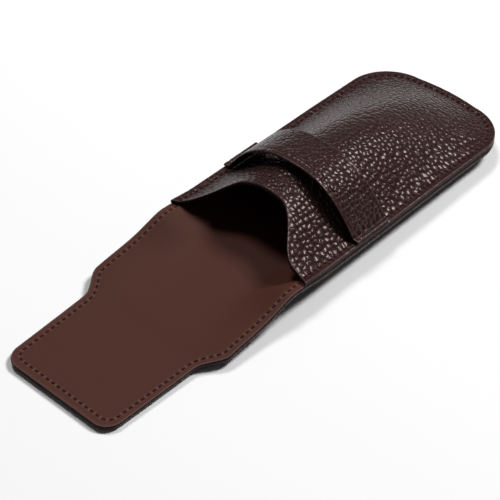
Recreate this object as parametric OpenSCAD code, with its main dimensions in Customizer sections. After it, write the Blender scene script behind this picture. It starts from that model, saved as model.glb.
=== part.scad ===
// Single-watch travel pouch in leather, shown open and lying on its back.
// A long base panel carries an arched front panel at one end and runs on as a flap at the other.
// The flap folds over the mouth and its tongue tucks under a keeper band that bridges the front.
// Millimetres. +X runs to the closed end, +Y to the left side seam, Z = 0 is the table.

/* [Pouch] */
// Width across the side seams
pouch_w = 66; // [60:1:74]
// Length from the mouth's fold line to the closed end
pouch_l = 129; // [116:1:142]
// Radius of the two corners at the closed end
corner_r = 19; // [14:0.5:22]
// How far the closed end bows out past its corners
end_bow = 1.2; // [0.6:0.1:2.4]
// Width of the flat seam round the pouch
seam_w = 3; // [2.6:0.1:3.6]
// Height of the seam over the table at the mouth
seam_h = 10; // [8.6:0.1:11.6]
// How much lower the seam lies at the closed end
seam_fall = 3; // [1.5:0.1:4]
// Height of the arched front over the seam, at its crest
front_rise = 15; // [12:0.5:18]
// Depth of the trough down the base panel at the mouth, before the table presses it flat
belly_drop = 12; // [11:0.5:15]

/* [Mouth] */
// Distance from the fold line to the front panel's corners
mouth_set = 3; // [2:0.5:6]
// Depth of the U-shaped cut in the front panel
mouth_cut = 18; // [12:0.5:22]

/* [Keeper band] */
// Distance from the fold line to the keeper's first edge
keeper_x = 32.5; // [30:0.5:38]
// Width of the keeper band
keeper_w = 18; // [14:0.5:24]
// Play between the tucked tongue and the keeper's inner face
keeper_play = 1.7; // [1.4:0.1:2.6]

/* [Flap] */
// Play between the closed flap and the front panel's crest
flap_play = 1; // [0.6:0.1:1.6]
// Height of the lining over the table at the second fold
fold_h = 6.4; // [5:0.1:8]
// Length of the curved shoulders
shoulder_l = 12.5; // [9:0.5:15]
// Play between the shoulders and the keeper when the tongue is home
shoulder_play = 1.3; // [0.5:0.1:3]
// Length of the tongue past its shoulders
tongue_l = 39.6; // [34:0.2:46]
// Width of the tongue at its root
tongue_root_w = 53.6; // [50:0.2:55]
// Width of the tongue at its tip
tongue_tip_w = 51; // [46:0.2:52]
// Radius of the tongue's two corners
tip_r = 6.5; // [4:0.5:10]
// Width of the tongue's middle strip, between the lines where its sides bend down
strip_w = 14; // [12:0.5:18]

/* [Leather] */
// Thickness of the pebbled outer leather
leather_t = 1; // [0.8:0.05:1.2]
// Thickness of the interlining board between leather and lining
board_t = 0.5; // [0.4:0.05:0.7]
// Thickness of the smooth lining of the base panel
lining_t = 0.8; // [0.6:0.05:1]
// Thickness of the lining behind the front panel
front_lining_t = 0.6; // [0.5:0.05:0.8]
// Thickness of the keeper's pebbled leather
keeper_t = 0.8; // [0.7:0.05:1]
// Thickness of the keeper's lining
keeper_lining_t = 0.5; // [0.4:0.05:0.6]
// Film of glue between two layers
glue_t = 0.05; // [0.04:0.01:0.08]
// How far the board stops short of the turned edge
board_inset = 1.2; // [0.8:0.1:1.8]

/* [Stitching] */
// Distance of the stitch line from the edge
stitch_in = 2.3; // [2:0.1:2.4]
// Distance from one stitch to the next
stitch_pitch = 3.2; // [2.6:0.1:4]
// Visible length of one stitch
stitch_l = 2.3; // [1.6:0.1:2.4]
// Thickness of the thread
thread_d = 0.45; // [0.3:0.05:0.6]

/* [Hidden] */

// Colours as the photograph shows them
pebbled_brown = [0.21, 0.13, 0.12];
lining_brown = [0.31, 0.19, 0.16];
board_grey = [0.45, 0.42, 0.38];
thread_brown = [0.16, 0.09, 0.07];

// Stacks of layers at the seam
base_t = leather_t + glue_t + board_t + glue_t + lining_t;
front_t = glue_t + front_lining_t + glue_t + leather_t;
keeper_stack = glue_t + keeper_lining_t + glue_t + keeper_t;

// Half widths and the closed end's corner centres
half_w = pouch_w / 2;
corner_y = half_w - corner_r;
corner_x = pouch_l - end_bow - corner_r;
inner_w = half_w - seam_w;

// The spine is as tall as the front, so the closed flap just clears the crest
spine_l = front_rise + flap_play;
keeper_rise = front_rise + flap_play + base_t + keeper_play;
shoulder_x = keeper_x - shoulder_play - shoulder_l;
root_x = shoulder_x + shoulder_l;
flap_l = root_x + tongue_l;

// Slopes of the spine and the flap as they lie open
spine_dip = asin((seam_h - fold_h) / spine_l);
flap_dip = asin((fold_h - base_t) / flap_l);
fold_x = -spine_l * cos(spine_dip);
tip_x = fold_x - flap_l * cos(flap_dip);
mid_x = (pouch_l + tip_x) / 2;

// Gap left on each side of a fold, where the real leather bends
fold_gap = 0.45;
// Gap on each side of the lines where the tongue's sides bend down
bend_gap = 0.1;
// Where the bending sides start: the shoulder is that much wider than the tongue there
bend_x = root_x - 0.26 * shoulder_l;

// Lift of a stitch over the face it lies on
stitch_lift = 0.04;
// Number of straight pieces in the shoulder curve
shoulder_steps = 10;
// Rows of facets along the pouch, across the keeper, along the spine and along the flap's trough
rows = 15;
keeper_rows = 3;
spine_rows = 2;
trough_rows = 8;
// How far a cutting block reaches past what it cuts
cut_over = 1;

function clamp01(t) = max(0, min(1, t));
function ease(t) = let(c = clamp01(t)) c * c * (3 - 2 * c);

// Height of the lining's face along the pouch's seam, and along the whole open base panel's edge
function seam_z(x) = seam_h - seam_fall * x / pouch_l;
function edge_z(x) =
    x >= 0 ? seam_z(x)
    : x >= fold_x ? seam_h + x * tan(spine_dip)
    : fold_h + (x - fold_x) * tan(flap_dip);

// Closed end at the distance y from the middle, drawn in by inset
function end_x(y, inset = 0) =
    abs(y) <= corner_y
        ? pouch_l - inset - end_bow * pow(y / corner_y, 2)
        : corner_x + sqrt(max(0, pow(corner_r - inset, 2) - pow(abs(y) - corner_y, 2)));
// Where the flat seam round the closed end begins
function seam_start(y) = end_x(y, seam_w) - 0.2 * seam_w;

// Edge of the U-shaped mouth
function mouth_x(y, inset = 0) =
    mouth_set + inset + mouth_cut * (1 - pow(clamp01(abs(y) / (half_w - 0.7 * seam_w)), 2.6));

// Crosswise and lengthwise shapes of the front's arch and the belly
function arch(y, power) = pow(max(0, cos(90 * clamp01(abs(y) / inner_w))), power);
function fade(x, y) =
    let(crest_end = keeper_x + keeper_w)
    1 - pow(clamp01((x - crest_end) / (seam_start(y) - crest_end)), 2.2);

function front_z(x, y) =
    seam_z(x) + (front_rise - front_t) * arch(y, 1.4) * fade(x, y);
function keeper_z(x, y) =
    seam_z(x) + front_t + (keeper_rise - front_t) * (1 - pow(clamp01(abs(y) / inner_w), 2.6));
// Lower face of the base panel: a trough between its edges that the table presses flat. It runs
// from the closed end over both folds, and ends where the tongue's sides begin
function trough(x) = 1 - ease((fold_x - x) / bend_x);
function under_z(x, y) =
    let(depth = belly_drop / (seam_h - base_t))
    (edge_z(x) - base_t) * max(0, 1 - depth * arch(y, 1.2) * fade(x, y) * trough(x));

// Place of row j along x: even steps from the near edge to the seam, and the last row on the closed end
function row_x(near, j, y) =
    j == rows ? end_x(y) : near + (seam_start(y) - near) * j / (rows - 1);

// Columns of facets across the pouch, closer together on the seam
left_columns = concat(
    [for (k = [1:3]) corner_y * k / 3],
    [for (a = [15, 30, 45]) corner_y + corner_r * sin(a)],
    [for (part = [1, 0.5, 0.2, 0.05, 0]) half_w - seam_w * part]);
columns = concat([for (k = [len(left_columns) - 1:-1:0]) -left_columns[k]], [0], left_columns);

// A thin sheet between two height fields, in straight columns ys: at(j, y) is row j's place along x
module sheet(ys, rows, at, low, high) {
    m = len(ys);
    per = m * (rows + 1);
    points = concat(
        [for (j = [0:rows]) for (y = ys) [at(j, y), y, low(at(j, y), y)]],
        [for (j = [0:rows]) for (y = ys) [at(j, y), y, high(at(j, y), y)]]);
    faces = concat(
        [for (j = [0:rows - 1]) for (i = [0:m - 2]) each let(a = j * m + i)
            [[a, a + m, a + 1], [a + 1, a + m, a + m + 1]]],
        [for (j = [0:rows - 1]) for (i = [0:m - 2]) each let(a = per + j * m + i)
            [[a, a + 1, a + m], [a + 1, a + m + 1, a + m]]],
        [for (i = [0:m - 2]) each [[i, i + 1, per + i], [i + 1, per + i + 1, per + i]]],
        [for (i = [0:m - 2]) each let(a = rows * m + i) [[a, per + a, a + 1], [a + 1, per + a, per + a + 1]]],
        [for (j = [0:rows - 1]) each let(a = j * m) [[a, per + a, a + m], [a + m, per + a, per + a + m]]],
        [for (j = [0:rows - 1]) each let(a = j * m + m - 1)
            [[a, a + m, per + a], [per + a, a + m, per + a + m]]]);
    polyhedron(points, faces, convexity = 8);
}

// Plan outline of the pouch's base, drawn in by inset
module base_outline(inset) {
    left = concat(
        [[fold_gap + inset, half_w - inset]],
        [for (a = [0:10:90]) let(r = corner_r - inset) [corner_x + r * sin(a), corner_y + r * cos(a)]]);
    right = [for (k = [len(left) - 1:-1:0]) [left[k][0], -left[k][1]]];
    polygon(concat(left, [[pouch_l - inset, 0]], right));
}

// One layer of a length of the base panel, lifted off its lower face: at(j, y) places row j
module base_layer(count, at, lift, thickness) {
    translate([-mid_x, 0, 0])
        sheet(columns, count, at,
            function(x, y) under_z(x, y) + lift,
            function(x, y) under_z(x, y) + lift + thickness);
}

module back_layer(lift, thickness) {
    base_layer(rows, function(j, y) row_x(fold_gap, j, y), lift, thickness);
}

// One layer of the spine, between the two folds
module spine_layer(lift, thickness) {
    base_layer(spine_rows,
        function(j, y) fold_x + fold_gap - (fold_x + 2 * fold_gap) * j / spine_rows,
        lift, thickness);
}

// One layer of the arched front, lifted off the seam
module front_layer(lift, thickness, inset) {
    translate([-mid_x, 0, 0])
        sheet(columns, rows,
            function(j, y) row_x(mouth_x(y, inset), j, y),
            function(x, y) front_z(x, y) + lift,
            function(x, y) front_z(x, y) + lift + thickness);
}

// One layer of the keeper band, lifted off the front panel's seam
module keeper_layer(lift, thickness, inset) {
    translate([-mid_x, 0, 0])
        sheet(columns, keeper_rows,
            function(j, y) keeper_x + inset + (keeper_w - 2 * inset) * j / keeper_rows,
            function(x, y) keeper_z(x, y) + lift,
            function(x, y) keeper_z(x, y) + lift + thickness);
}

// Half width of the flap at the distance u from the second fold
function flap_half(u) =
    u < root_x
        ? half_w + (tongue_root_w / 2 - half_w) * ease((u - shoulder_x) / shoulder_l)
        : tongue_root_w / 2 + (tongue_tip_w - tongue_root_w) / 2 * (u - root_x) / tongue_l;

// Outline of the left half of the flap, from the fold to the tip, as [x, y] with the tip at -x
function flap_edge(inset) = concat(
    [[-fold_gap - inset, half_w - inset]],
    [for (k = [0:shoulder_steps]) let(u = shoulder_x + shoulder_l * k / shoulder_steps)
        [-u, flap_half(u) - inset]],
    [for (a = [0:15:90]) let(r = tip_r - inset)
        [-flap_l + tip_r - r * sin(a), tongue_tip_w / 2 - tip_r + r * cos(a)]]);

// A block in the flap's outline, its upper face at the height top, before the flap is tilted
module flap_slab(top, thickness, inset) {
    left = flap_edge(inset);
    right = [for (k = [len(left) - 1:-1:0]) [left[k][0], -left[k][1]]];
    translate([0, 0, top - thickness])
        linear_extrude(thickness)
            polygon(concat(left, right));
}

// Puts a child drawn at the second fold, with the tip at -x, onto the open flap
module on_flap() {
    translate([fold_x - mid_x, 0, fold_h])
        rotate([0, -flap_dip, 0])
            children();
}

// Puts a child drawn at the mouth's fold, with the second fold at -x, onto the open spine
module on_spine() {
    translate([-mid_x, 0, seam_h])
        rotate([0, -spine_dip, 0])
            children();
}

// The room of one bending side, drawn in by gap from the lines where it bends
module side_block(side, gap) {
    near_y = strip_w / 2 + gap;
    width = half_w + cut_over - near_y;
    translate([-flap_l - cut_over, side > 0 ? near_y : -near_y - width, -fold_h - 2 * cut_over])
        cube([flap_l + cut_over - bend_x - gap, width, fold_h + 4 * cut_over]);
}

// Distances from the second fold at which the flap's facets meet, from the flat tongue to the fold
flap_stops = concat(
    [flap_l + cut_over, root_x],
    [for (k = [trough_rows:-1:1]) bend_x * k / (trough_rows + 1)],
    [fold_gap / 2]);

// One layer of the flap without its bending sides, lifted off the base panel's lower face
module flap_middle(lift, thickness, inset) {
    intersection() {
        base_layer(len(flap_stops) - 1, function(j, y) fold_x - flap_stops[j], lift, thickness);
        on_flap()
            difference() {
                flap_slab(cut_over, fold_h + 2 * cut_over, inset);
                for (side = [-1, 1])
                    side_block(side, -bend_gap);
            }
    }
}

// One layer of a bending side of the tongue: side is 1 for the left and -1 for the right
module tongue_side(side, lift, thickness, inset) {
    on_flap()
        intersection() {
            flap_slab(lift + thickness - base_t, thickness, inset);
            side_block(side, bend_gap);
        }
}

// One stitch, centred on the origin and lying on z = 0
module stitch() {
    translate([-stitch_l / 2, -thread_d / 2, stitch_lift])
        cube([stitch_l, thread_d, thread_d * 0.6]);
}

// Height of the front panel or the keeper on the seam, over the base panel's upper face
function seam_stack(x) =
    front_t + (x > keeper_x && x < keeper_x + keeper_w ? keeper_stack : 0);

// True where a stitch lies clear of an edge that crosses the seam
function clear_of(x, edge) = abs(x - edge) > stitch_l / 2 + thread_d / 2;

module pouch_stitches() {
    line_y = half_w - stitch_in;
    side_count = floor((corner_x - stitch_pitch) / stitch_pitch);
    arc_r = corner_r - stitch_in;
    arc_count = floor(arc_r * PI / 2 / stitch_pitch);
    end_count = floor(2 * corner_y / stitch_pitch);
    color(thread_brown)
        translate([-mid_x, 0, 0]) {
            for (side = [-1, 1]) {
                for (k = [1:side_count])
                    let(x = k * stitch_pitch)
                        if (clear_of(x, keeper_x) && clear_of(x, keeper_x + keeper_w)
                            && x > mouth_x(line_y) + stitch_l)
                            translate([x, side * line_y, seam_z(x) + seam_stack(x)])
                                stitch();
                for (k = [1:arc_count])
                    let(a = 90 * k / (arc_count + 1), x = corner_x + arc_r * sin(a))
                        translate([x, side * (corner_y + arc_r * cos(a)), seam_z(x) + front_t])
                            rotate(-side * a)
                                stitch();
            }
            for (k = [0:end_count])
                let(y = -corner_y + 2 * corner_y * k / end_count, x = end_x(y) - stitch_in)
                    translate([x, y, seam_z(x) + front_t])
                        rotate(90)
                            stitch();
        }
}

module spine_stitches() {
    count = floor((spine_l - 2 * fold_gap) / stitch_pitch);
    color(thread_brown)
        on_spine()
            for (side = [-1, 1])
                for (k = [1:count])
                    translate([-spine_l * k / (count + 1), side * (half_w - stitch_in), 0])
                        stitch();
}

// Stitches along one side of the flap, from the distance first to the distance last
module flap_side_stitches(side, first, last) {
    count = floor((last - first) / stitch_pitch);
    for (k = [0:count])
        let(u = first + (last - first) * k / count,
            slope = atan((flap_half(u + stitch_l / 2) - flap_half(u - stitch_l / 2)) / stitch_l))
            translate([-u, side * (flap_half(u) - stitch_in), 0])
                rotate(-side * slope)
                    stitch();
}

module flap_stitches() {
    end_count = floor((strip_w - 2 * stitch_l) / stitch_pitch);
    color(thread_brown)
        on_flap() {
            for (side = [-1, 1])
                flap_side_stitches(side, fold_gap + stitch_l, bend_x - bend_gap - stitch_l);
            for (k = [0:end_count])
                translate([-flap_l + stitch_in, (k - end_count / 2) * stitch_pitch, 0])
                    rotate(90)
                        stitch();
        }
}

module tongue_stitches(side) {
    arc_r = tip_r - stitch_in;
    arc_y = tongue_tip_w / 2 - tip_r;
    end_l = arc_y - strip_w / 2 - stitch_l;
    end_count = floor(end_l / stitch_pitch);
    color(thread_brown)
        on_flap() {
            flap_side_stitches(side, bend_x + bend_gap + stitch_l, flap_l - tip_r);
            translate([-flap_l + tip_r - arc_r * sin(45), side * (arc_y + arc_r * cos(45)), 0])
                rotate(side * 45)
                    stitch();
            for (k = [0:end_count])
                translate([-flap_l + stitch_in, side * (arc_y - end_l * k / end_count), 0])
                    rotate(90)
                        stitch();
        }
}

// Lifts of the base panel's board and lining over its lower face
board_lift = leather_t + glue_t;
lining_lift = base_t - lining_t;

module pouch_back_shell() {
    color(pebbled_brown)
        back_layer(0, leather_t);
}
module pouch_back_board() {
    color(board_grey)
        intersection() {
            back_layer(board_lift, board_t);
            translate([-mid_x, 0, 0])
                linear_extrude(seam_h)
                    base_outline(board_inset);
        }
}
module pouch_back_lining() {
    color(lining_brown)
        back_layer(lining_lift, lining_t);
}
module front_panel() {
    color(pebbled_brown)
        front_layer(front_t - leather_t, leather_t, 0);
}
module front_panel_lining() {
    color(lining_brown)
        front_layer(glue_t, front_lining_t, 0.4);
}
module keeper_band() {
    color(pebbled_brown)
        keeper_layer(keeper_stack - keeper_t, keeper_t, 0);
}
module keeper_band_lining() {
    color(lining_brown)
        keeper_layer(glue_t, keeper_lining_t, 0.4);
}
module spine_shell() {
    color(pebbled_brown)
        spine_layer(0, leather_t);
}
module spine_board() {
    color(board_grey)
        intersection() {
            spine_layer(board_lift, board_t);
            translate([fold_x + fold_gap + board_inset - mid_x, board_inset - half_w, 0])
                cube([-fold_x - 2 * (fold_gap + board_inset), pouch_w - 2 * board_inset, seam_h]);
        }
}
module spine_lining() {
    color(lining_brown)
        spine_layer(lining_lift, lining_t);
}
module flap_shell() {
    color(pebbled_brown)
        flap_middle(0, leather_t, 0);
}
module flap_board() {
    color(board_grey)
        flap_middle(board_lift, board_t, board_inset);
}
module flap_lining() {
    color(lining_brown)
        flap_middle(lining_lift, lining_t, 0);
}
module left_tongue_shell() {
    color(pebbled_brown)
        tongue_side(1, 0, leather_t, 0);
}
module left_tongue_board() {
    color(board_grey)
        tongue_side(1, board_lift, board_t, board_inset);
}
module left_tongue_lining() {
    color(lining_brown)
        tongue_side(1, lining_lift, lining_t, 0);
}
module left_tongue_stitches() {
    tongue_stitches(1);
}
module right_tongue_shell() {
    color(pebbled_brown)
        tongue_side(-1, 0, leather_t, 0);
}
module right_tongue_board() {
    color(board_grey)
        tongue_side(-1, board_lift, board_t, board_inset);
}
module right_tongue_lining() {
    color(lining_brown)
        tongue_side(-1, lining_lift, lining_t, 0);
}
module right_tongue_stitches() {
    tongue_stitches(-1);
}

pouch_back_shell();
pouch_back_board();
pouch_back_lining();
front_panel();
front_panel_lining();
keeper_band();
keeper_band_lining();
pouch_stitches();
spine_shell();
spine_board();
spine_lining();
spine_stitches();
flap_shell();
flap_board();
flap_lining();
flap_stitches();
left_tongue_shell();
left_tongue_board();
left_tongue_lining();
left_tongue_stitches();
right_tongue_shell();
right_tongue_board();
right_tongue_lining();
right_tongue_stitches();
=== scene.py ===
import math

import bpy
import numpy as np
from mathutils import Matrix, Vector


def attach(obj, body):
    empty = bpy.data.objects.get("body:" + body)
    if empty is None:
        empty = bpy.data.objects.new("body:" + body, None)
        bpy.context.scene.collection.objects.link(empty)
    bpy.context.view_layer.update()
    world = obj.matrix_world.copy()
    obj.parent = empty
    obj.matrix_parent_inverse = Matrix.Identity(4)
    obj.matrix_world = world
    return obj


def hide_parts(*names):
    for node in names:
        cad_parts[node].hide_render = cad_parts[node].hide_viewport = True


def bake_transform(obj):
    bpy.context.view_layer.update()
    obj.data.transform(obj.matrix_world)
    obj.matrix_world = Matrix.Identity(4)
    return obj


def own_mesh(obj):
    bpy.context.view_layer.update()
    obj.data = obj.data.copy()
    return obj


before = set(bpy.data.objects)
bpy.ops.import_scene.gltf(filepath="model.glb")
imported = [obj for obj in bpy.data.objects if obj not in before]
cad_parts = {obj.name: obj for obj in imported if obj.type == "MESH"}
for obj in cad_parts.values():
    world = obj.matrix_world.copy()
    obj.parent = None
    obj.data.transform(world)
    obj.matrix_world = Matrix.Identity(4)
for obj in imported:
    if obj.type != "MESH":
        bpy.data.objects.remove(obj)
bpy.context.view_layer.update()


# The camera looks from the photograph's place. It was found by laying the outline of the open
# pouch over the picture, so its turn, height, distance and focal length belong together.
view_turn = math.radians(-47.489)
view_height = math.radians(42.557)
view_distance = 0.644697
view_centre = np.array([-0.008492, 0.001579, 0.0])
focal_pixels = 1756.18
picture_pixels = 500
sensor_mm = 36.0

toward_camera = np.array([
    math.sin(view_turn) * math.cos(view_height),
    -math.cos(view_turn) * math.cos(view_height),
    math.sin(view_height),
])
camera_data = bpy.data.cameras.new("photograph_camera")
camera_data.sensor_width = sensor_mm
camera_data.lens = focal_pixels / picture_pixels * sensor_mm
camera_data.clip_start = 0.01
camera = bpy.data.objects.new("photograph_camera", camera_data)
camera.location = view_centre + toward_camera * view_distance
camera.rotation_euler = (math.pi / 2 - view_height, 0, view_turn)
bpy.context.scene.collection.objects.link(camera)
bpy.context.scene.camera = camera
bpy.context.scene.view_settings.view_transform = "Standard"


# The floor is a wide white sheet, a hair below the pouch, that keeps the pouch's shadow. The camera
# and mirrored rays see it whiter than the light it throws back. Further out, where the lamps'
# light runs out, it shows white by itself, of which mirrored rays see a fifth. Lengths here are
# in metres.
def node(tree, kind, values=None, **settings):
    """Adds one shader node, sets its properties, and fills or links the inputs named in values."""
    made = tree.nodes.new(kind)
    for setting, value in settings.items():
        setattr(made, setting, value)
    for socket, value in (values or {}).items():
        if isinstance(value, bpy.types.NodeSocket):
            tree.links.new(value, made.inputs[socket])
        else:
            made.inputs[socket].default_value = value
    return made


def worked(tree, operation, *values):
    """One step of shader arithmetic, on numbers or on what other nodes give."""
    return node(tree, "ShaderNodeMath", dict(enumerate(values)), operation=operation).outputs[0]


def ramp(tree, value, start, end, low, high, curve="SMOOTHSTEP"):
    """Carries a value from the stretch start to end over to low to high, and holds it beyond."""
    return node(
        tree,
        "ShaderNodeMapRange",
        {"Value": value, 1: start, 2: end, 3: low, 4: high},
        interpolation_type=curve,
    ).outputs[0]


def mix(tree, share, first, second):
    """A colour between two, by a share from 0 to 1."""
    return node(
        tree,
        "ShaderNodeMix",
        {"Factor": share, 6: first, 7: second},
        data_type="RGBA",
    ).outputs[2]


def seen_rays(tree, in_mirror=1.0):
    """How far a ray shows the background: fully if it comes from the camera or through something
    clear, and by the given share if it was mirrored on the way."""
    rays = node(tree, "ShaderNodeLightPath")
    glossy = worked(tree, "MULTIPLY", rays.outputs["Is Glossy Ray"], in_mirror)
    shown = worked(tree, "MAXIMUM", rays.outputs["Is Camera Ray"], glossy)
    return worked(tree, "MAXIMUM", shown, rays.outputs["Is Transmission Ray"])


def new_material(name):
    """A new material, with its node tree and its shader."""
    made = bpy.data.materials.new(name)
    made.use_nodes = True
    return made, made.node_tree, made.node_tree.nodes["Principled BSDF"]


floor_height = -0.00015
floor_reach = 6.0
floor_corners = ((-1, -1), (1, -1), (1, 1), (-1, 1))
paper_grey = (0.5, 0.5, 0.5, 1)
paper_white = (0.97, 0.97, 0.97, 1)
glow_from = 0.4
glow_full = 2.0
glow_in_mirror = 0.2

floor_mesh = bpy.data.meshes.new("floor")
floor_points = [(x * floor_reach, y * floor_reach, floor_height) for x, y in floor_corners]
floor_mesh.from_pydata(floor_points, [], [(0, 1, 2, 3)])
floor = bpy.data.objects.new("floor", floor_mesh)
bpy.context.scene.collection.objects.link(floor)
floor_material, tree, shader = new_material("white_sweep")
shader.inputs["Roughness"].default_value = 1.0
shader.inputs["Specular IOR Level"].default_value = 0.0
paper = mix(tree, seen_rays(tree), paper_grey, paper_white)
tree.links.new(paper, shader.inputs["Base Color"])
place = node(tree, "ShaderNodeTexCoord").outputs["Object"]
away = node(tree, "ShaderNodeVectorMath", {0: place}, operation="LENGTH").outputs["Value"]
far_off = ramp(tree, away, glow_from, glow_full, 0.0, 1.0)
glow = worked(tree, "MULTIPLY", seen_rays(tree, glow_in_mirror), far_off)
shader.inputs["Emission Color"].default_value = (1, 1, 1, 1)
tree.links.new(glow, shader.inputs["Emission Strength"])
floor_mesh.materials.append(floor_material)


# Studio light: one soft lamp high beyond the far side throws the shadow toward the camera, another
# over the closed end picks out the grain. The pale room fills in only a little and is white where
# it is seen, but a mirrored ray finds it white only near the horizon, under a dim ceiling.
lamp_distance = 2.4
lamp_width = 0.6
room_fill = 0.05
white_below = 0.02
dim_above = 0.12


def lamp(name, toward, share):
    """A square lamp that shines at the middle of the pouch from a direction. The share is the part
    of a white floor's brightness that it gives: watts are share times pi squared times distance
    squared, over the sine of its height."""
    toward = np.array(toward) / np.linalg.norm(toward)
    data = bpy.data.lights.new(name, "AREA")
    data.shape = "SQUARE"
    data.size = lamp_width
    data.energy = share * math.pi**2 * lamp_distance**2 / toward[2]
    made = bpy.data.objects.new(name, data)
    made.location = toward * lamp_distance
    made.rotation_euler = Vector(toward).to_track_quat("Z", "Y").to_euler()
    bpy.context.scene.collection.objects.link(made)


lamp("back_softbox", (0.2, 0.42, 0.88), share=0.36)
lamp("end_softbox", (0.57, -0.25, 0.78), share=0.64)

room = bpy.data.worlds.new("pale_room")
room.use_nodes = True
bpy.context.scene.world = room
tree = room.node_tree
background = tree.nodes["Background"]
background.inputs["Color"].default_value = (1, 1, 1, 1)
heading = node(tree, "ShaderNodeTexCoord").outputs["Generated"]
climb = node(tree, "ShaderNodeSeparateXYZ", {0: heading}).outputs["Z"]
horizon = ramp(tree, climb, white_below, dim_above, 1.0, 0.0)
strength = worked(tree, "MULTIPLY_ADD", seen_rays(tree, horizon), 1 - room_fill, room_fill)
tree.links.new(strength, background.inputs["Strength"])


# Base panel, outer leather: one long strip of pebbled leather on a thin board, under the whole pouch
# and flap. Its edge is cut, rounded and painted. The leather bends along two folds across it and, when
# it is shut, along both sides of its tongue; here it is built in pieces that meet at the two folds, at
# the tongue's root and along the flap's middle line. All lengths are in millimetres.
mm = 0.001
flap_tip = -107.64
pouch_end = 107.64
half_width = 33.0
end_corner = 19.0
end_bow = 1.2
corner_from = pouch_end - end_bow - end_corner
tip_corner = 6.5
tip_half = 25.5
root_half = 26.8
root_at = -68.15
shoulder_at = -55.65
spine_from = -28.0
flap_from = -43.0
keeper_to = 29.14
inner_half = 30.0
seam_width = 3.0
seam_margin = 0.6

# The base is pared thinner at its tongue, and the stiff tongue keeps a little off the floor
base_thick = 2.4
leather_share = 0.62
tongue_pared = 0.5
pared_to = -66.0
pared_run = 12.0
tongue_lift = 0.5
lifted_to = -62.0
lifted_run = 14.0

# The base sags in a trough between its raised sides, until its belly lies on the floor. It comes
# to rest there softly, most of all round the two folds.
trough_depth = 1.5
trough_power = 1.2
rest_soft = 0.12
fold_soft = 1.6
fold_soft_from = -80.0
fold_soft_to = -20.0
fold_soft_run = 40.0


def smooth(t):
    """Rises from 0 to 1 with level ends: three t squared less two t cubed, t held in 0 to 1."""
    t = np.clip(t, 0, 1)
    return t * t * (3 - 2 * t)


def side_reach(x):
    """Half width of the base panel at x: straight sides, an S curve to the tongue, round corners."""
    shoulder = root_half + (half_width - root_half) * smooth((x - root_at) / (shoulder_at - root_at))
    tongue = tip_half + (root_half - tip_half) * (x - flap_tip) / (root_at - flap_tip)
    into = np.clip(tip_corner - (x - flap_tip), 0, tip_corner)
    corner = tip_corner - np.sqrt(tip_corner**2 - into**2)
    return np.where(x < root_at, tongue - corner, shoulder)


def end_reach(y, inset=0.0):
    """Furthest x at y: a slightly bowed end between two round corners, all moved in by inset."""
    flat = half_width - end_corner
    off = np.abs(y)
    radius = end_corner - inset
    round_part = np.sqrt(np.maximum(radius**2 - np.clip(off - flat, 0, radius) ** 2, 0))
    bow = end_bow * (1 - np.clip(off / flat, 0, 1) ** 2)
    return corner_from + round_part + bow


# Places along the edge and the height of the lining's face there, from the tip to the closed end
edge_marks = np.array([
    (-107.64, 2.4), (-85, 2.8), (-69, 3.1), (-62, 3.7), (-58, 4.1), (-50, 5.2), (-43, 5.9),
    (-36, 7.0), (-30, 8.8), (-24, 10.6), (-19, 10.3), (-8, 8.8), (20, 8.3), (60, 7.9), (107.64, 6.5),
])
mean_reach = 4.5
bell_width = 9.5


def edge_height(x):
    """Height of the lining's face along the edge: straight lines between the marks, each place
    taking a bell-weighted mean over 9 mm so the line has no corners. It curls up at the mouth."""
    reach = np.linspace(-mean_reach, mean_reach, 13)
    weight = np.cos(np.pi * reach / bell_width) ** 2
    near = np.interp(x[..., None] + reach, edge_marks[:, 0], edge_marks[:, 1])
    return (near * weight).sum(-1) / weight.sum()


def arch(y, power):
    """One at the middle line and zero from the seam outward: a cosine raised to a power."""
    return np.cos(np.pi / 2 * np.clip(np.abs(y) / inner_half, 0, 1)) ** power


def end_fade(x, y):
    """One up to the keeper band, then down to zero where the closed end's seam begins: one less
    the square of the way between them."""
    seam = end_reach(y, seam_width) - seam_margin
    return 1 - np.clip((x - keeper_to) / np.maximum(seam - keeper_to, 1), 0, 1) ** 2.0


def base_thickness(x):
    """Thickness of the base: its tongue is pared thinner, so that it slides under the keeper."""
    return base_thick - tongue_pared * (1 - smooth((x - pared_to) / pared_run))


def under_face(x, y):
    """Lower face of the base: the edge's height less a trough that sags until the floor holds it.
    The larger of sag and zero is taken softly: half of sag plus the root of its square and the
    softness squared."""
    high = edge_height(x) - base_thickness(x)
    lift = tongue_lift * (1 - smooth((x - lifted_to) / lifted_run))
    sag = high - trough_depth * high * arch(y, trough_power) * end_fade(x, y) - lift
    rising = smooth((x - fold_soft_from) / fold_soft_run)
    falling = 1 - smooth((x - fold_soft_to) / fold_soft_run)
    soft = rest_soft + fold_soft * rising * falling
    return lift + 0.5 * (sag + np.sqrt(sag**2 + soft**2))


# Distances of the grid's rows from an edge, close together at the rounding and at the stitches
fine_steps = np.array([0, 0.08, 0.2, 0.36, 0.56, 0.8, 1.1, 1.4, 1.7, 1.95, 2.15, 2.3, 2.45, 2.65,
                       2.9, 3.2, 3.6, 4.2, 5.0, 6.0])
fine_reach = 7.0


def to_edge(near, far, count):
    """Rows of places from near to far: even steps, then the fine steps just inside the edge."""
    near, far = np.asarray(near, float), np.asarray(far, float)
    even = np.linspace(0, 1, count)
    inner = near[..., None] + (far - fine_reach - near)[..., None] * even
    return np.concatenate([inner, far[..., None] - fine_steps[::-1]], -1)


block_size = 1500


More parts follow.
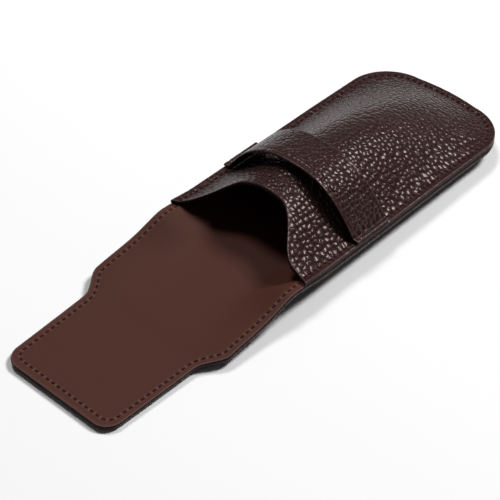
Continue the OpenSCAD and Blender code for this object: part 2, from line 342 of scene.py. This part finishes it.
def nearest(x, y, line):
    """Distance of each place from a line of points, and how far along the line its foot lies: the
    foot on each straight piece, held between its ends, and of all these the closest. It works
    through the places in blocks, to save memory."""
    start = line[:-1]
    step = np.diff(line, axis=0)
    length = np.hypot(step[:, 0], step[:, 1])
    reached = np.concatenate([[0], np.cumsum(length)])
    spots = np.stack([x.ravel(), y.ravel()], -1)
    gap = np.empty(len(spots))
    along = np.empty(len(spots))
    for block in np.array_split(np.arange(len(spots)), len(spots) // block_size + 1):
        away = spots[block, None] - start[None]
        share = np.clip((away * step).sum(-1) / length**2, 0, 1)
        foot = away - share[..., None] * step
        distance = np.hypot(foot[..., 0], foot[..., 1])
        best = distance.argmin(1)
        row = np.arange(len(block))
        gap[block] = distance[row, best]
        along[block] = reached[best] + share[row, best] * length[best]
    return gap.reshape(x.shape), along.reshape(x.shape)


side_step = 0.7
corner_points = 40


def base_outline():
    """The base panel's edge as one closed line of points, from the middle of the tongue's tip: the
    straight tip, a quarter circle, the side, a quarter circle and the bowed end, then mirrored."""
    tip = np.stack([np.full(24, flap_tip), np.linspace(0, tip_half - tip_corner, 24)], -1)
    turn = np.linspace(0, np.pi / 2, 18)[1:]
    side_x = np.concatenate([
        flap_tip + tip_corner * (1 - np.cos(turn)),
        np.arange(flap_tip + tip_corner + side_step, corner_from, side_step),
    ])
    side = np.stack([side_x, side_reach(side_x)], -1)
    corner_turn = np.linspace(0, np.pi / 2, corner_points)
    corner_y = half_width - end_corner + end_corner * np.cos(corner_turn)
    end_y = np.concatenate([corner_y, np.linspace(half_width - end_corner, 0, 18)[1:]])
    end = np.stack([end_reach(end_y), end_y], -1)
    end[:corner_points, 0] = corner_from + end_corner * np.sin(corner_turn)
    half = np.concatenate([tip, side, end])
    return np.concatenate([half, half[-2::-1] * [1, -1]])


def moved_in(line, inset):
    """A closed line moved toward its inside, square to its own direction, by the inset."""
    way = np.roll(line, -1, axis=0) - np.roll(line, 1, axis=0)
    way = way / np.maximum(np.hypot(way[:, :1], way[:, 1:]), 1e-9)
    return line + inset * np.stack([way[:, 1], -way[:, 0]], -1)


# The row of stitches runs along the edge, and a little further in across the tongue's tip. The
# wanted pitch is evened out, so that a whole number of stitches goes round.
outline = base_outline()
stitch_inset = 2.7
wanted_pitch = 2.7
tip_set_in = 0.8
set_in_reach = 9.0
set_in_run = 5.0
stitch_line = moved_in(outline[:-1], stitch_inset)
stitch_line[:, 0] += tip_set_in * smooth((flap_tip + set_in_reach - stitch_line[:, 0]) / set_in_run)
stitch_line = np.concatenate([stitch_line, stitch_line[:1]])
line_step = np.diff(stitch_line, axis=0)
line_reached = np.concatenate([[0], np.cumsum(np.hypot(line_step[:, 0], line_step[:, 1]))])
stitch_count = round(line_reached[-1] / wanted_pitch)
stitch_pitch = line_reached[-1] / stitch_count
dent_width = 0.62


def rounding(inset, radius):
    """How far a face drops near its cut edge: a quarter circle of the radius."""
    rest = np.clip(radius - inset, 0, radius)
    return radius - np.sqrt(np.maximum(radius**2 - rest**2, 0))


def stitch_dent(gap, along, depth, swing):
    """How far the stitches pull a face in: a bell across their row, times a cosine along it that is
    one under each stitch and one less twice the swing between two."""
    pull = 1 - swing - swing * np.cos(2 * np.pi * along / stitch_pitch)
    return depth * pull * np.exp(-((gap / dent_width) ** 2))


def slab(name, x, y, top, under, inset, gap, along):
    """A closed sheet from grids in mm: an upper and a lower face, joined by a wall at the border.
    The distances from the edge and from the stitch line go with it as attributes, and so does the
    place on the leather laid flat: x, and the length along the upper face, counted from the
    grid's middle column, where it is y."""
    rows, columns = x.shape
    size = x.size
    place = np.arange(size).reshape(rows, columns)
    upper = np.stack([place[:-1, :-1], place[1:, :-1], place[1:, 1:], place[:-1, 1:]], -1)
    upper = upper.reshape(-1, 4)
    border = np.concatenate([place[:, 0], place[-1, 1:], place[-2::-1, -1], place[0, -2:0:-1]])
    onward = np.roll(border, -1)
    wall = np.stack([border + size, onward + size, onward, border], -1)
    faces = np.concatenate([upper, upper[:, ::-1] + size, wall])
    points = np.concatenate([
        np.stack([x.ravel(), y.ravel(), top.ravel()], -1),
        np.stack([x.ravel(), y.ravel(), under.ravel()], -1),
    ])
    girth = np.cumsum(np.hypot(np.diff(y, axis=1), np.diff(top, axis=1)), axis=1)
    girth = np.concatenate([np.zeros((rows, 1)), girth], 1)
    middle = slice(columns // 2, columns // 2 + 1)
    girth = girth - girth[:, middle] + y[:, middle]
    facts = {
        "inset": inset,
        "flat_x": x * mm,
        "flat_y": girth * mm,
        "stitch_gap": gap,
        "stitch_along": along,
    }
    return surface(name, points, faces, {k: np.tile(v.ravel(), 2) for k, v in facts.items()})


sharp_from = math.radians(48)


def surface(name, points, faces, facts=None):
    """A mesh object from points in mm and four-sided faces, smooth except at its sharp corners."""
    mesh = bpy.data.meshes.new(name)
    mesh.vertices.add(len(points))
    mesh.vertices.foreach_set("co", (points * mm).astype(np.float32).ravel())
    mesh.loops.add(faces.size)
    mesh.loops.foreach_set("vertex_index", faces.astype(np.int32).ravel())
    mesh.polygons.add(len(faces))
    mesh.polygons.foreach_set("loop_start", np.arange(0, faces.size, 4, dtype=np.int32))
    mesh.update(calc_edges=True)
    mesh.validate()
    mesh.polygons.foreach_set("use_smooth", np.ones(len(mesh.polygons), bool))
    mesh.set_sharp_from_angle(angle=sharp_from)
    for fact, values in (facts or {}).items():
        attribute = mesh.attributes.new(fact, "FLOAT", "POINT")
        attribute.data.foreach_set("value", values.astype(np.float32))
    made = bpy.data.objects.new(name, mesh)
    bpy.context.scene.collection.objects.link(made)
    return made


# The grain: how far its pebbles wander off their places, in metres, how uneven they are, how their
# domes fall off, and the share of the pores. The edge's paint is ragged by a part of a millimetre.
# Scales are waves or cells in a metre.
pebble_wander = 0.0013
wander_scale = 330.0
pebble_random = 0.72
pebble_blend = 0.12
dome_power = 1.9
dome_fall = 2.2
pore_share = 0.11
pore_scale = 2400.0
drift_scale = 60.0
edge_ragged = 0.2
ragged_scale = 900.0


def reading(tree, name):
    """What an attribute of the mesh says at each place."""
    return node(tree, "ShaderNodeAttribute", attribute_name=name).outputs["Fac"]


def new_group(name, takes, gives):
    """A new node group with plain numbers for its inputs and outputs."""
    group = bpy.data.node_groups.new(name, "ShaderNodeTree")
    for way, labels in (("INPUT", takes), ("OUTPUT", gives)):
        for label in labels:
            group.interface.new_socket(label, in_out=way, socket_type="NodeSocketFloat")
    return group


def flat_noise(tree, place, scale, detail):
    """Noise on the leather laid flat."""
    return node(
        tree,
        "ShaderNodeTexNoise",
        {"Vector": place, "Scale": scale, "Detail": detail},
        noise_dimensions="2D",
    )


def pebble_group():
    """Pebbled grain on the leather laid flat: round-topped cells with narrow valleys between them.
    Height is the relief, Valley is one in the creases, Tone drifts slowly from pebble to pebble.
    A dome is flat_top less its fall times the distance from its middle to a power."""
    group = new_group("pebble_grain_and_crease_shade", ["Pebbles per metre"], ["Height", "Valley", "Tone"])
    scale = node(group, "NodeGroupInput").outputs[0]
    place = node(
        group,
        "ShaderNodeCombineXYZ",
        {0: reading(group, "flat_x"), 1: reading(group, "flat_y")},
    ).outputs[0]
    shift = node(
        group,
        "ShaderNodeVectorMath",
        {0: flat_noise(group, place, wander_scale, 2.0).outputs["Color"], 1: (0.5, 0.5, 0.5)},
        operation="SUBTRACT",
    )
    shift = node(
        group,
        "ShaderNodeVectorMath",
        {0: shift.outputs[0], 3: pebble_wander},
        operation="SCALE",
    )
    bent = node(
        group,
        "ShaderNodeVectorMath",
        {0: place, 1: shift.outputs[0]},
        operation="ADD",
    )
    pattern = {"Vector": bent.outputs[0], "Scale": scale, "Randomness": pebble_random}
    from_border = node(
        group,
        "ShaderNodeTexVoronoi",
        pattern,
        feature="DISTANCE_TO_EDGE",
        voronoi_dimensions="2D",
    ).outputs["Distance"]
    from_middle = node(
        group,
        "ShaderNodeTexVoronoi",
        dict(pattern, Smoothness=pebble_blend),
        feature="SMOOTH_F1",
        voronoi_dimensions="2D",
    ).outputs["Distance"]
    flat_top = ramp(group, from_border, 0.0, 0.16, 0.0, 0.35)
    away = worked(group, "POWER", from_middle, dome_power)
    dome = worked(group, "MULTIPLY_ADD", away, -dome_fall, flat_top)
    fine = flat_noise(group, place, pore_scale, 3.0).outputs["Fac"]
    height = worked(group, "MULTIPLY_ADD", fine, pore_share, dome)
    valley = ramp(group, from_border, 0.02, 0.19, 1.0, 0.0)
    drift = flat_noise(group, place, drift_scale, 3.0).outputs["Fac"]
    node(group, "NodeGroupOutput", {"Height": height, "Valley": valley, "Tone": drift})
    return group


def edge_group():
    """Cut edge, from the distance to it. Paint is one on the painted wall, Rim on the narrow rounded
    corner above it, where a lighter colour paints a highlight, and Margin fades out over the hem
    between the edge and the stitches."""
    group = new_group("edge_paint_and_highlight", ["Margin width"], ["Paint", "Rim_highlight", "Margin"])
    margin_width = node(group, "NodeGroupInput").outputs[0]
    place = node(group, "ShaderNodeTexCoord").outputs["Object"]
    uneven = node(
        group,
        "ShaderNodeTexNoise",
        {"Vector": place, "Scale": ragged_scale, "Detail": 2.0},
    ).outputs["Fac"]
    ragged = worked(group, "MULTIPLY_ADD", uneven, edge_ragged, reading(group, "inset"))
    paint = ramp(group, ragged, 0.12, 0.28, 1.0, 0.0)
    corner = ramp(group, ragged, 0.5, 0.7, 1.0, 0.0)
    margin = ramp(group, ragged, 0.3, margin_width, 1.0, 0.0)
    rim_highlight = worked(group, "SUBTRACT", corner, paint)
    node(group, "NodeGroupOutput", {"Paint": paint, "Rim_highlight": rim_highlight, "Margin": margin})
    return group


def stitch_group():
    """Painted shade and highlight round a row of stitches, from the distance to its line and the
    length along it: Bed is one in the dent round each stitch, where shade is painted, and Pucker on
    the bit of leather that is drawn up between two stitches, where a highlight is painted. Both come
    from a cosine that is one between two stitches, times a fade across the row."""
    group = new_group("stitch_shade_and_highlight", [], ["Dent_shade", "Pucker_highlight"])
    turns = worked(group, "MULTIPLY", reading(group, "stitch_along"), 2 * math.pi / stitch_pitch)
    wave = worked(group, "COSINE", turns)
    gap = reading(group, "stitch_gap")
    parts = {}
    for part, wave_from, wave_to, near, far in (
        ("Dent_shade", 0.45, 0.0, 0.2, 0.52),
        ("Pucker_highlight", 0.1, 0.8, 0.5, 1.1),
    ):
        lengthwise = ramp(group, wave, wave_from, wave_to, 0.0, 1.0)
        sideways = ramp(group, gap, near, far, 1.0, 0.0)
        parts[part] = worked(group, "MULTIPLY", lengthwise, sideways)
    node(group, "NodeGroupOutput", parts)
    return group


pebble_grain_and_crease_shade = pebble_group()
edge_paint_and_highlight = edge_group()
stitch_shade_and_highlight = stitch_group()


def use_group(tree, group, values=None):
    """Places a node group in a material, fills its inputs and gives its outputs."""
    return node(tree, "ShaderNodeGroup", values, node_tree=group).outputs


def emboss(tree, shader, height, distance, strength=1.0):
    """Gives a material its relief: the height times a distance in metres, by a strength."""
    values = {"Height": height, "Distance": distance, "Strength": strength}
    bump = node(tree, "ShaderNodeBump", values)
    tree.links.new(bump.outputs[0], shader.inputs["Normal"])


pebbles_per_metre = 460.0
leather_hem = 2.7
leather_bump = 0.00021
hem_flatness = 0.75
pebble_dark = (0.028, 0.0095, 0.0088, 1)
pebble_light = (0.042, 0.0152, 0.0142, 1)
# Painted shade: the grain's creases are coloured darker
crease_shade_brown = (0.009, 0.0026, 0.0024, 1)
# Painted highlight between stitches, then painted shade in the dent round each stitch
pucker_highlight_brown = (0.052, 0.0195, 0.018, 1)
stitch_dent_shade_brown = (0.004, 0.0012, 0.0011, 1)
# Painted highlight along the rounded corner of the cut edge
rim_highlight_brown = (0.06, 0.029, 0.027, 1)
edge_paint = (0.014, 0.0052, 0.0047, 1)


def leather_material():
    """Dark brown pebbled leather with a satin finish, with painted shade in its creases and in the
    dents round its stitches, a painted highlight on the leather drawn up between stitches, and a
    redder painted highlight along its edges' rounded corners.
    """
    made, tree, shader = new_material("pebbled_leather")
    grain = use_group(tree, pebble_grain_and_crease_shade, {0: pebbles_per_metre})
    edge = use_group(tree, edge_paint_and_highlight, {0: leather_hem})
    stitch_shading = use_group(tree, stitch_shade_and_highlight)
    tone = mix(tree, grain["Tone"], pebble_dark, pebble_light)
    # Painted shade in the grain's creases
    tone = mix(tree, grain["Valley"], tone, crease_shade_brown)
    # Painted highlight between stitches and painted shade in the dents round them
    tone = mix(tree, stitch_shading["Pucker_highlight"], tone, pucker_highlight_brown)
    tone = mix(tree, stitch_shading["Dent_shade"], tone, stitch_dent_shade_brown)
    # Painted highlight along the rounded corner above the painted edge wall
    tone = mix(tree, edge["Rim_highlight"], tone, rim_highlight_brown)
    tone = mix(tree, edge["Paint"], tone, edge_paint)
    tree.links.new(tone, shader.inputs["Base Color"])
    rough = ramp(tree, grain["Valley"], 0.0, 1.0, 0.24, 0.5, curve="LINEAR")
    tree.links.new(rough, shader.inputs["Roughness"])
    flat_hem = worked(tree, "MULTIPLY_ADD", edge["Margin"], -hem_flatness, 1.0)
    relief = worked(tree, "MULTIPLY", grain["Height"], flat_hem)
    emboss(tree, shader, relief, leather_bump)
    shader.inputs["Specular IOR Level"].default_value = 0.24
    shader.inputs["Specular Tint"].default_value = (1, 0.82, 0.8, 1)
    return made


def dress(piece, material):
    """Gives a piece its material."""
    piece.data.materials.append(material)


leather = leather_material()


leather_round = 1.0
glued_round = 0.06
lining_round = 0.4
lining_groove = 0.22
lining_swing = 0.45


def base_sheet(name, x, y, low, high, low_round, high_round, groove=0.0):
    """A layer of the base between two shares of its thickness, with both edges rounded by quarter
    circles. With a groove, its upper face sinks under each stitch and comes up between two."""
    inset, _ = nearest(x, y, outline)
    gap, along = nearest(x, y, stitch_line)
    lowest = under_face(x, y)
    thick = base_thickness(x)
    sunk = stitch_dent(gap, along, groove, lining_swing)
    top = lowest + high * thick - rounding(inset, high_round) - sunk
    under = lowest + low * thick + rounding(inset, low_round)
    return slab(name, x, y, top, under, inset, gap, along)


def mirrored(half):
    """A row from the right edge to the left one, from the row that goes from middle to edge."""
    return np.concatenate([-half[..., :0:-1], half], -1)


def pouch_grid():
    """Places over the pouch's back, from inside the first fold to the closed end."""
    y = mirrored(to_edge(0.0, half_width, count=20))
    x = to_edge(np.full(y.shape, spine_from), end_reach(y), count=118).T
    return x, np.broadcast_to(y, x.shape)


def cross_grid(x, side=None):
    """Places across the strip at each x: the whole width, or one half of it by its side."""
    half = to_edge(np.zeros(len(x)), side_reach(x), count=18)
    if side is None:
        y = mirrored(half)
    elif side > 0:
        y = half
    else:
        y = -half[:, ::-1]
    return np.broadcast_to(x[:, None], y.shape), y


spine_step = 0.5
flap_step = 0.55
tongue_step = 0.9
root_margin = 0.5
border_row = 0.12


def rows_between(start, end, step):
    """Even rows, with one more just inside each border, so that the pieces shade as one."""
    even = np.linspace(start, end, max(2, int(round((end - start) / step)) + 1))
    return np.sort(np.concatenate([even, [start + border_row, end - border_row]]))


tongue_rows = np.concatenate([
    flap_tip + fine_steps,
    np.arange(flap_tip + fine_reach, root_at - root_margin, tongue_step),
    [root_at - border_row, root_at],
])
grids = {
    "pouch": pouch_grid(),
    "spine": cross_grid(rows_between(flap_from, spine_from, spine_step)),
    "left_cover": cross_grid(rows_between(root_at, flap_from, flap_step), 1),
    "right_cover": cross_grid(rows_between(root_at, flap_from, flap_step), -1),
    "left_tongue": cross_grid(tongue_rows, 1),
    "right_tongue": cross_grid(tongue_rows, -1),
}


def follow(piece, zone):
    """Bakes a piece's placement into its mesh, the same way for every zone."""
    if zone == "pouch":
        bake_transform(piece)
    elif zone == "spine":
        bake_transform(piece)
    else:
        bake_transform(piece)


cad_names = {
    "pouch": "pouch_back",
    "spine": "spine",
    "left_cover": "flap",
    "right_cover": "flap",
    "left_tongue": "left_tongue",
    "right_tongue": "right_tongue",
}
for zone, (x, y) in grids.items():
    piece = base_sheet(
        zone + "_outside",
        x,
        y,
        low=0.0,
        high=leather_share,
        low_round=leather_round,
        high_round=glued_round,
    )
    dress(piece, leather)
    follow(piece, zone)
    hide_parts(cad_names[zone] + "_shell", cad_names[zone] + "_board")


# Base panel, lining: smooth thin leather glued over the board, the face seen on the open flap and
# inside the pouch. Its edge is painted with the strip's, and the stitches pull it in a little.
lining_hem = 2.6
lining_bump = 0.00008
cloud_scale = 38.0
fine_scale = 1500.0
pit_scale = 1300.0
pit_share = 0.6
lining_dark = (0.064, 0.0205, 0.0135, 1)
lining_light = (0.080, 0.0265, 0.0185, 1)
hem_brown = (0.078, 0.031, 0.024, 1)
# Painted highlight between stitches, then painted shade in the dent round each stitch
hem_pucker_highlight = (0.108, 0.042, 0.033, 1)
hem_stitch_dent_shade = (0.018, 0.0052, 0.004, 1)
# Painted highlight along the lining's rounded edge corner
hem_rim_highlight = (0.125, 0.06, 0.05, 1)


def lining_material():
    """Smooth brown leather: very fine grain, soft cloudy tone, a lighter hem, painted shade and
    highlight round its stitches, and a redder painted highlight along its edge's rounded corner.
    """
    made, tree, shader = new_material("lining_leather")
    place = node(tree, "ShaderNodeTexCoord").outputs["Object"]
    cloud = node(
        tree,
        "ShaderNodeTexNoise",
        {"Vector": place, "Scale": cloud_scale, "Detail": 4.0, "Roughness": 0.6},
    ).outputs["Fac"]
    fine = node(
        tree,
        "ShaderNodeTexNoise",
        {"Vector": place, "Scale": fine_scale, "Detail": 4.0, "Roughness": 0.65},
    ).outputs["Fac"]
    pits = node(
        tree,
        "ShaderNodeTexVoronoi",
        {"Vector": place, "Scale": pit_scale},
        feature="F1",
    ).outputs["Distance"]
    edge = use_group(tree, edge_paint_and_highlight, {0: lining_hem})
    stitch_shading = use_group(tree, stitch_shade_and_highlight)
    tone = mix(tree, cloud, lining_dark, lining_light)
    tone = mix(tree, edge["Margin"], tone, hem_brown)
    # Painted highlight between stitches and painted shade in the dents round them
    tone = mix(tree, stitch_shading["Pucker_highlight"], tone, hem_pucker_highlight)
    tone = mix(tree, stitch_shading["Dent_shade"], tone, hem_stitch_dent_shade)
    # Painted highlight along the rounded corner above the painted edge wall
    tone = mix(tree, edge["Rim_highlight"], tone, hem_rim_highlight)
    tone = mix(tree, edge["Paint"], tone, edge_paint)
    tree.links.new(tone, shader.inputs["Base Color"])
    rough = ramp(tree, cloud, 0.3, 0.7, 0.6, 0.7, curve="LINEAR")
    tree.links.new(rough, shader.inputs["Roughness"])
    relief = worked(tree, "MULTIPLY_ADD", pits, pit_share, fine)
    emboss(tree, shader, relief, lining_bump, strength=0.6)
    shader.inputs["Specular IOR Level"].default_value = 0.12
    return made


lining = lining_material()
for zone, (x, y) in grids.items():
    piece = base_sheet(
        zone + "_inside",
        x,
        y,
        low=leather_share,
        high=1.0,
        low_round=glued_round,
        high_round=lining_round,
        groove=lining_groove,
    )
    dress(piece, lining)
    follow(piece, zone)
    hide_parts(cad_names[zone] + "_lining")


# Front panel: pebbled leather with a thin lining, sewn to the base along both sides and round the
# closed end. It stands up in an arch, and its mouth is cut back in a U and leans a little.
front_thick = 1.7
front_leather = 1.05
front_lift = 0.14
front_round = 0.5
front_inner_round = 0.2
front_glued_round = 0.05
front_groove = 0.24
front_swing = 0.4
mouth_from = -18.36
mouth_depth = 17.0
mouth_lean = 2.0
mouth_flat = 9.0
mouth_slope = 21.0
flare_depth = 2.2
flare_at = 28.5
flare_width = 4.5
arch_rise = 15.2
arch_gain = 1.9
arch_run = 45.0
arch_power = 1.25


def mouth_reach(y):
    """Where the mouth's edge lies at y: a flat-topped bell with S curves for its sides, leaning a
    little to the far side, and a small bell-shaped flare beside each seam."""
    bell = 1 - smooth((np.abs(y - mouth_lean) - mouth_flat) / mouth_slope)
    flare = np.exp(-(((np.abs(y) - flare_at) / flare_width) ** 2))
    return mouth_from + mouth_depth * bell + flare_depth * flare


def front_rise(x):
    """Height of the arch over the seam: it grows by an S curve from the mouth to the keeper."""
    return arch_rise + arch_gain * smooth((x - mouth_from) / arch_run)


def front_face(x, y):
    """Upper face of the front panel: flat on the seam, with a rounded arch between the seams, the
    rise times a power of a cosine across it."""
    arched = front_rise(x) * arch(y, arch_power) * end_fade(x, y)
    return edge_height(x) + front_lift + front_thick + arched


def front_grid():
    """Places over the front panel, from the mouth's edge to the closed end, fine at both."""
    y = mirrored(to_edge(0.0, half_width, count=30))
    start, end = mouth_reach(y), end_reach(y)
    even = np.linspace(0, 1, 110)
    even = (start + fine_reach)[:, None] + (end - start - 2 * fine_reach)[:, None] * even
    x = np.concatenate([start[:, None] + fine_steps, even, end[:, None] - fine_steps[::-1]], -1).T
    return x, np.broadcast_to(y, x.shape)


def flatten(piece):
    """The soft front rides with the pouch: it is hung on the pouch's body and given a mesh of its own."""
    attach(piece, "pouch")
    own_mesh(piece)


x, y = front_grid()
mouth_y = np.linspace(-half_width, half_width, 160)
mouth_line = np.stack([mouth_reach(mouth_y), mouth_y], -1)
inset = np.minimum(nearest(x, y, outline)[0], nearest(x, y, mouth_line)[0])
gap, along = nearest(x, y, stitch_line)
sunk = stitch_dent(gap, along, front_groove, front_swing)
face = front_face(x, y)
split = face - front_leather
piece = slab(
    "front_outside",
    x,
    y,
    face - rounding(inset, front_round) - sunk,
    split + rounding(inset, front_glued_round),
    inset,
    gap,
    along,
)
dress(piece, leather)
flatten(piece)
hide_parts("front_panel")
piece = slab(
    "front_inside",
    x,
    y,
    split - rounding(inset, front_glued_round),
    face - front_thick + rounding(inset, front_inner_round),
    inset,
    gap,
    along,
)
dress(piece, lining)
flatten(piece)
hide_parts("front_panel_lining")


# Keeper band: a lined strip of the same leather that arches over the front panel. Its two ends
# are caught in the side seams, and both long edges are free, so the flap's tongue slides under.
keeper_from = 11.14
keeper_rise = 19.5
keeper_half = 30.8
keeper_power = 2.6
keeper_fall = 0.035
keeper_end_rise = 1.45
keeper_thick = 1.15
keeper_leather = 0.7
keeper_round = 0.4
keeper_inner_round = 0.15

# A crease is pressed along the band's edge on the mouth's side
crease_depth = 0.22
crease_in = 2.5
crease_width = 0.4


def keeper_face(x, y):
    """Upper face of the band: on the seam at its ends, and a broad arch between them, one less a
    power of the way from the middle, which falls a little toward the closed end."""
    hoop = 1 - np.clip(np.abs(y) / keeper_half, 0, 1) ** keeper_power
    rise = keeper_rise - keeper_fall * (x - keeper_from)
    return edge_height(x) + front_lift + front_thick + keeper_end_rise + rise * hoop


# Distances of the grid's rows from the band's long edges
band_steps = np.array([0, 0.08, 0.2, 0.36, 0.56, 0.85, 1.2, 1.55, 1.85, 2.1, 2.3, 2.5, 2.7, 2.9, 3.2,
                       3.6, 4.2])
band_reach = 5.0
band_x = np.concatenate([
    keeper_from + band_steps,
    np.linspace(keeper_from + band_reach, keeper_to - band_reach, 13),
    keeper_to - band_steps[::-1],
])
band_y = mirrored(to_edge(0.0, half_width, count=50))
x, y = np.meshgrid(band_x, band_y, indexing="ij")
inset = np.minimum(np.minimum(x - keeper_from, keeper_to - x), half_width - np.abs(y))
crease = crease_depth * np.exp(-(((x - keeper_from - crease_in) / crease_width) ** 2))
face = keeper_face(x, y)
split = face - keeper_leather
gap, along = nearest(x, y, stitch_line)
piece = slab(
    "keeper_outside",
    x,
    y,
    face - rounding(inset, keeper_round) - crease,
    split,
    inset,
    gap,
    along,
)
dress(piece, leather)
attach(piece, "pouch")
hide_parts("keeper_band")
piece = slab(
    "keeper_inside",
    x,
    y,
    split,
    face - keeper_thick + rounding(inset, keeper_inner_round),
    inset,
    gap,
    along,
)
dress(piece, lining)
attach(piece, "pouch")
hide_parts("keeper_band_lining")


# Thread: one dark waxed thread sews the front panel and the keeper's ends to the base, and runs on
# round the flap as an even row of stitches, seen on both faces.
stitch_length = 1.75
stitch_bow = 0.2
stitch_dip = 0.14
stitch_sunk = 0.12
thread_half = 0.2
thread_bluntness = 2.02
thread_end = 0.02
thread_bump = 0.00006
twist_scale = 900.0
ahead = 0.05
thread_dark = (0.012, 0.0032, 0.0028, 1)
thread_light = (0.030, 0.0085, 0.0072, 1)


def thread_material():
    """Dark brown waxed thread with a faint twist along each stitch."""
    made, tree, shader = new_material("thread")
    place = node(tree, "ShaderNodeTexCoord").outputs["Object"]
    twist = node(
        tree,
        "ShaderNodeTexWave",
        {"Vector": place, "Scale": twist_scale, "Distortion": 1.5, "Detail": 1.0},
        bands_direction="DIAGONAL",
    ).outputs["Fac"]
    tree.links.new(mix(tree, twist, thread_dark, thread_light), shader.inputs["Base Color"])
    emboss(tree, shader, twist, thread_bump)
    shader.inputs["Roughness"].default_value = 0.6
    shader.inputs["Specular IOR Level"].default_value = 0.14
    return made


thread = thread_material()
stitch_at = (np.arange(stitch_count) + 0.5) * stitch_pitch


def on_line(at):
    """The places on the stitch line at these lengths along it."""
    return np.stack([
        np.interp(at % line_reached[-1], line_reached, stitch_line[:, i]) for i in (0, 1)
    ], -1)


def sewn_height(x, y, facing):
    """Height of the face that a stitch lies on: the lining, the front panel or the keeper's end,
    all pulled in a little, or for the stitches below, the base's lower face."""
    top = under_face(x, y) + base_thickness(x)
    top = np.where(x > mouth_from + 1, front_face(x, y), top)
    on_keeper = (x > keeper_from) & (x < keeper_to)
    top = np.where(on_keeper, keeper_face(x, y), top)
    return np.where(facing > 0, top - stitch_sunk, under_face(x, y))


def stitches(name, centres, facing):
    """Short round bars along the stitch line, with blunt ends closed by four-sided faces: their
    half thickness times the root of one less the sixth power of the way to an end. Each bows up by
    a parabola, from a dip into the leather at both ends."""
    span = np.linspace(-0.5, 0.5, 9)
    around = np.linspace(0, 2 * np.pi, 8, endpoint=False)
    at = centres[:, None] + stitch_length * span
    spot = on_line(at)
    way = on_line(at + ahead) - on_line(at - ahead)
    way = way / np.hypot(way[..., :1], way[..., 1:])
    rise = stitch_bow * (1 - (2 * span) ** 2) - stitch_dip
    thick = thread_half * np.sqrt(np.clip(1 - (thread_bluntness * span) ** 6, thread_end, 1))
    z = sewn_height(spot[..., 0], spot[..., 1], facing) + facing * rise
    across = np.cos(around) * thick[:, None]
    up = np.sin(around) * thick[:, None]
    ring_x = spot[..., 0, None] - way[..., 1, None] * across
    ring_y = spot[..., 1, None] + way[..., 0, None] * across
    ring_z = z[..., None] + up
    points = np.stack([ring_x, ring_y, ring_z], -1)
    count, rings, sides, _ = points.shape
    place = np.arange(points.size // 3).reshape(count, rings, sides)
    turned = np.roll(place, -1, axis=2)
    tube = np.stack([place[:, :-1], turned[:, :-1], turned[:, 1:], place[:, 1:]], -1)
    ends = []
    for ring, order in ((0, (3, 2, 1, 0)), (rings - 1, (0, 1, 2, 3))):
        for last in range(3, sides, 2):
            corners = [0, last - 2, last - 1, last]
            ends.append(place[:, ring][:, [corners[i] for i in order]])
    faces = np.concatenate([tube.reshape(-1, 4)] + ends)
    return surface(name, points.reshape(-1, 3), faces)


# Where each zone's stitches lie: from x, to x, and the side of the middle line, or 0 for both
zone_limits = {
    "pouch": (spine_from, math.inf, 0),
    "spine": (flap_from, spine_from, 0),
    "left_cover": (root_at, flap_from, 1),
    "right_cover": (root_at, flap_from, -1),
    "left_tongue": (-math.inf, root_at, 1),
    "right_tongue": (-math.inf, root_at, -1),
}
thread_nodes = dict(cad_names, pouch="pouch")
for zone, (low, high, side) in zone_limits.items():
    for facing, face_name in ((1, "upper"), (-1, "lower")):
        centre_at = stitch_at + (0 if facing > 0 else stitch_pitch / 2)
        middle = on_line(centre_at)
        inside = (middle[:, 0] >= low) & (middle[:, 0] < high)
        if side:
            inside &= middle[:, 1] * side > 0
        piece = stitches(zone + "_thread_" + face_name, centre_at[inside], facing)
        dress(piece, thread)
        follow(piece, zone)
        if facing > 0:
            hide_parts(thread_nodes[zone] + "_stitches")
